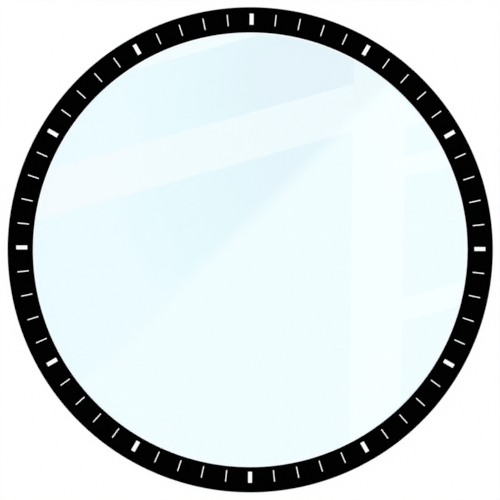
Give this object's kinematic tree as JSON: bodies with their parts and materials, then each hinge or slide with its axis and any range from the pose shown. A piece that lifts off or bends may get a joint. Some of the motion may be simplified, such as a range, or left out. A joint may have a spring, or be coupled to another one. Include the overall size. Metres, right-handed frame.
{
  "type": "smartwatch screen protector",
  "caption": "Round tempered glass screen protector with a black printed border, a white minute scale, film and adhesive backing, and a peel-off liner.",
  "frame": {"origin": "centre of the release liner's lower face, on the surface that the protector lies on", "axes": "+Z out of the front of the glass, +Y towards 12 o'clock on the minute scale, +X towards 3 o'clock"},
  "size_m": [0.0395, 0.0394, 0.0006],
  "materials": {
    "tempered_glass": "polished, with a smooth oil-repellent coat",
    "white_ink": "screen-printed ink",
    "black_ink": "screen-printed ink",
    "clear_adhesive": "clear acrylic adhesive",
    "clear_film": "clear polyester film",
    "silicone_adhesive": "clear, soft and tacky",
    "liner_film": "clear polyester film with a release coat"
  },
  "bodies": {
    "liner": {"release_liner": "liner_film"},
    "protector": {"cover_glass": "tempered_glass", "hour_marks": "white_ink", "minute_marks": "white_ink", "border_print": "black_ink", "border_backing": "black_ink", "bonding_adhesive": "clear_adhesive", "shatter_film": "clear_film", "grip_adhesive": "silicone_adhesive"}
  },
  "joints": [
    {"name": "liner_peel", "type": "slide", "parent": "liner", "child": "protector", "axis": [0, 0, 1], "range_m": [0, 0.03]}
  ]
}
